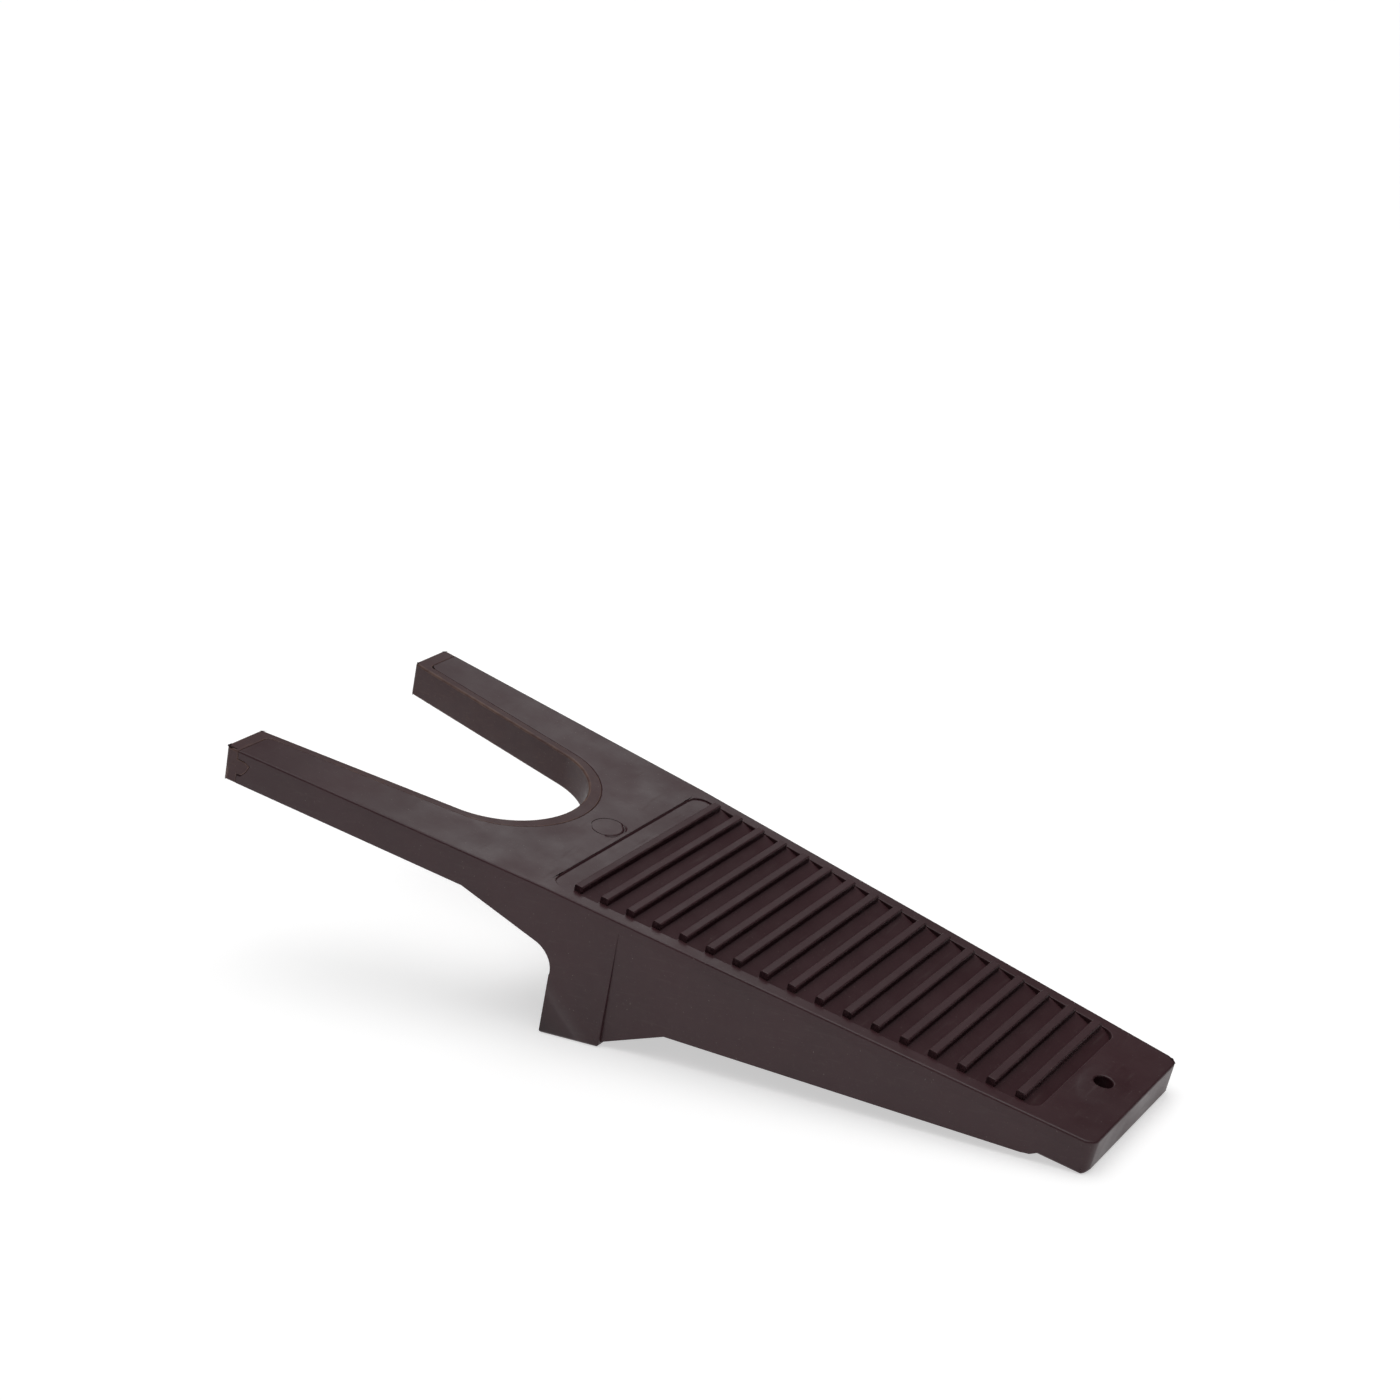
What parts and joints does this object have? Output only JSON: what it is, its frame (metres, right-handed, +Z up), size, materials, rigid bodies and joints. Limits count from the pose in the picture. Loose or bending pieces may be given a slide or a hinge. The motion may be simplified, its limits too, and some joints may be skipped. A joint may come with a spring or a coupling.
{
  "type": "boot jack",
  "caption": "Sloping one-piece boot jack with a lined U-shaped heel jaw, a ribbed tread, a prop leg and a hanging hole in the tail.",
  "frame": {"origin": "centre of the bounding box's footprint, on the floor", "axes": "+X from the heel jaw towards the tail, +Y across the deck, +Z up from the floor"},
  "size_m": [0.3232, 0.1216, 0.0828],
  "materials": {
    "body_plastic": "satin dark brown moulded plastic",
    "liner_rubber": "matte dark brown soft rubber",
    "grip_rubber": "satin dark brown soft rubber"
  },
  "bodies": {
    "root": {"body": "body_plastic", "jaw_liner": "liner_rubber", "grip_bar_01": "grip_rubber", "grip_bar_02": "grip_rubber", "grip_bar_03": "grip_rubber", "grip_bar_04": "grip_rubber", "grip_bar_05": "grip_rubber", "grip_bar_06": "grip_rubber", "grip_bar_07": "grip_rubber", "grip_bar_08": "grip_rubber", "grip_bar_09": "grip_rubber", "grip_bar_10": "grip_rubber", "grip_bar_11": "grip_rubber", "grip_bar_12": "grip_rubber", "grip_bar_13": "grip_rubber", "grip_bar_14": "grip_rubber", "grip_bar_15": "grip_rubber", "grip_bar_16": "grip_rubber", "grip_bar_17": "grip_rubber"}
  },
  "joints": []
}
